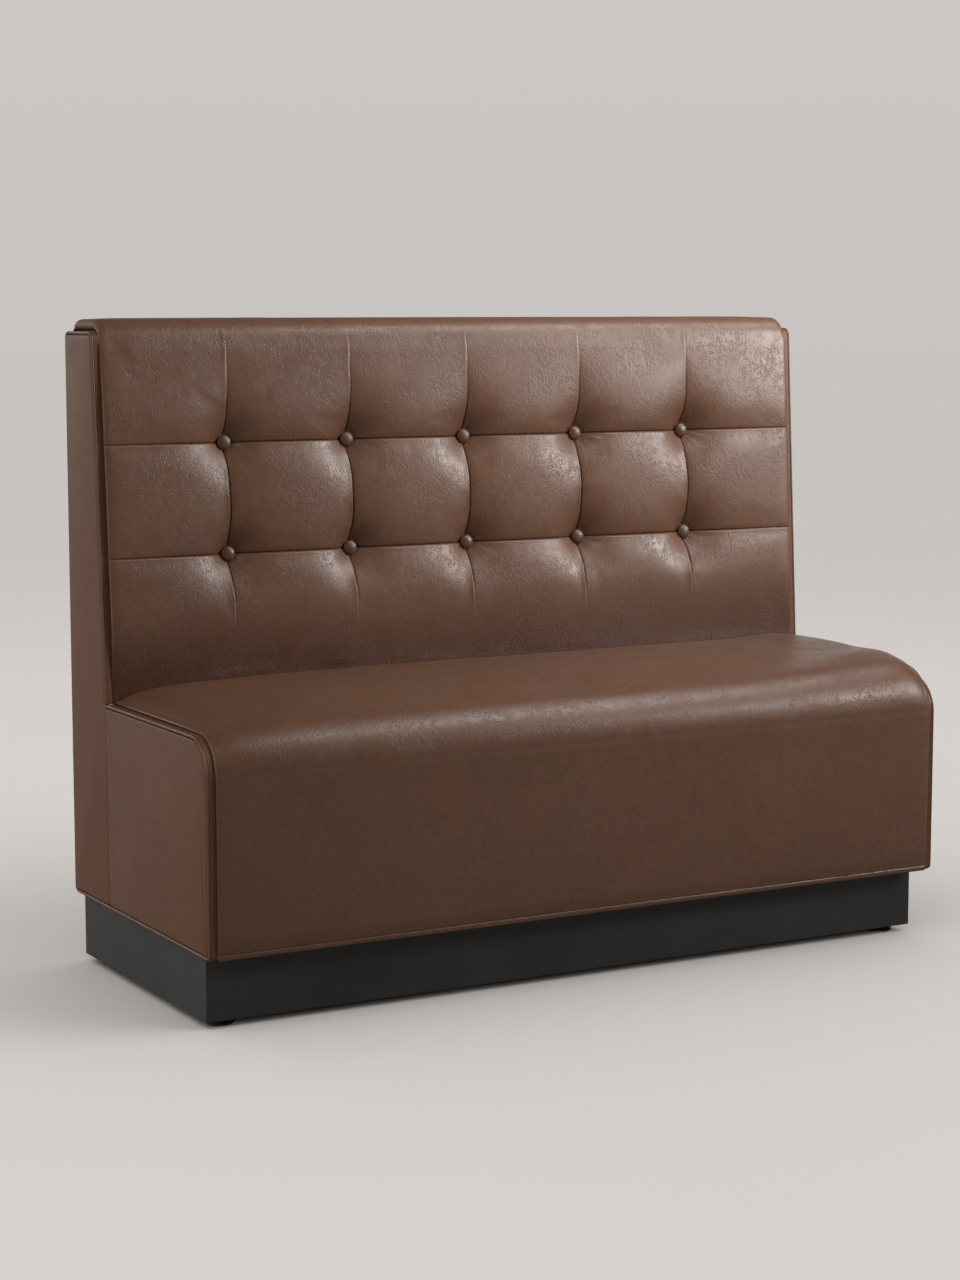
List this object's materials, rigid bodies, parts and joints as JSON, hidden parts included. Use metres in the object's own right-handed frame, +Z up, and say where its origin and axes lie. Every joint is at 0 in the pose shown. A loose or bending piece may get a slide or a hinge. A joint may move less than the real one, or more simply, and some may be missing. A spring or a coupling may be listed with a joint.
{
  "type": "upholstered banquette bench",
  "caption": "Upholstered banquette bench with a crowned seat, a button-tufted sloping back with a top roll, welted end panels and a recessed black plinth on levelling feet.",
  "frame": {"origin": "on the floor under the middle of the bench", "axes": "+X along the bench to its right end, +Y to its back, +Z up"},
  "size_m": [1.36, 0.56, 1.067],
  "materials": {
    "brown_leather": "satin",
    "welt_leather": "satin",
    "black_plinth": "satin",
    "plywood": "matte",
    "beech": "matte",
    "foam": "matte",
    "zinc_steel": "satin",
    "black_nylon": "satin",
    "twine": "matte"
  },
  "bodies": {
    "bench": {"plinth_front_board": "black_plinth", "plinth_rear_board": "black_plinth", "plinth_left_board": "black_plinth", "plinth_right_board": "black_plinth", "plinth_left_rib": "plywood", "plinth_right_rib": "plywood", "plinth_corner_blocks": "beech", "foot_tee_nuts": "zinc_steel", "plinth_brackets": "zinc_steel", "bracket_screws": "zinc_steel", "seat_base_board": "plywood", "seat_end_ply_left": "plywood", "seat_end_ply_right": "plywood", "seat_front_board": "plywood", "seat_rear_board": "plywood", "seat_left_rib": "plywood", "seat_right_rib": "plywood", "seat_deck": "plywood", "seat_foam": "foam", "seat_front_foam": "foam", "seat_cover": "brown_leather", "seat_end_cover_left": "brown_leather", "seat_end_cover_right": "brown_leather", "seat_welt_left": "welt_leather", "seat_welt_right": "welt_leather", "back_end_ply_left": "plywood", "back_end_ply_right": "plywood", "back_bottom_rail": "plywood", "back_lower_rail": "plywood", "back_shelf": "plywood", "back_top_rail": "plywood", "back_left_rib": "plywood", "back_right_rib": "plywood", "tuft_board": "plywood", "back_rear_panel": "plywood", "back_foam": "foam", "top_roll_foam": "foam", "back_cover_lower": "brown_leather", "back_cover_middle": "brown_leather", "back_cover_upper": "brown_leather", "rear_cover": "brown_leather", "back_end_cover_left": "brown_leather", "back_end_cover_right": "brown_leather", "back_welt_left": "welt_leather", "back_welt_right": "welt_leather", "tuft_buttons": "brown_leather", "button_ties": "twine", "frame_bolts": "zinc_steel", "frame_nuts": "zinc_steel"},
    "front_left_pad": {"foot_pad_front_left": "black_nylon"},
    "front_left_stem": {"foot_stem_front_left": "zinc_steel"},
    "front_right_pad": {"foot_pad_front_right": "black_nylon"},
    "front_right_stem": {"foot_stem_front_right": "zinc_steel"},
    "rear_left_pad": {"foot_pad_rear_left": "black_nylon"},
    "rear_left_stem": {"foot_stem_rear_left": "zinc_steel"},
    "rear_right_pad": {"foot_pad_rear_right": "black_nylon"},
    "rear_right_stem": {"foot_stem_rear_right": "zinc_steel"}
  },
  "joints": [
    {"name": "front_left_foot_lift", "type": "slide", "parent": "bench", "child": "front_left_pad", "axis": [0, 0, 1], "range_m": [-0.0151, 0.0026]},
    {"name": "front_left_foot_turn", "type": "hinge", "parent": "front_left_pad", "child": "front_left_stem", "pos_m": [-0.629, -0.198, 0], "axis": [0, 0, 1], "range_deg": [-4320, 720]},
    {"name": "front_right_foot_lift", "type": "slide", "parent": "bench", "child": "front_right_pad", "axis": [0, 0, 1], "range_m": [-0.0151, 0.0026]},
    {"name": "front_right_foot_turn", "type": "hinge", "parent": "front_right_pad", "child": "front_right_stem", "pos_m": [0.629, -0.198, 0], "axis": [0, 0, 1], "range_deg": [-4320, 720]},
    {"name": "rear_left_foot_lift", "type": "slide", "parent": "bench", "child": "rear_left_pad", "axis": [0, 0, 1], "range_m": [-0.0151, 0.0026]},
    {"name": "rear_left_foot_turn", "type": "hinge", "parent": "rear_left_pad", "child": "rear_left_stem", "pos_m": [-0.629, 0.233, 0], "axis": [0, 0, 1], "range_deg": [-4320, 720]},
    {"name": "rear_right_foot_lift", "type": "slide", "parent": "bench", "child": "rear_right_pad", "axis": [0, 0, 1], "range_m": [-0.0151, 0.0026]},
    {"name": "rear_right_foot_turn", "type": "hinge", "parent": "rear_right_pad", "child": "rear_right_stem", "pos_m": [0.629, 0.233, 0], "axis": [0, 0, 1], "range_deg": [-4320, 720]}
  ],
  "couplings": [
    {"joint": "front_left_foot_lift", "follows": "front_left_foot_turn", "m_per_rad": 0.00019894},
    {"joint": "front_right_foot_lift", "follows": "front_right_foot_turn", "m_per_rad": 0.00019894},
    {"joint": "rear_left_foot_lift", "follows": "rear_left_foot_turn", "m_per_rad": 0.00019894},
    {"joint": "rear_right_foot_lift", "follows": "rear_right_foot_turn", "m_per_rad": 0.00019894}
  ]
}
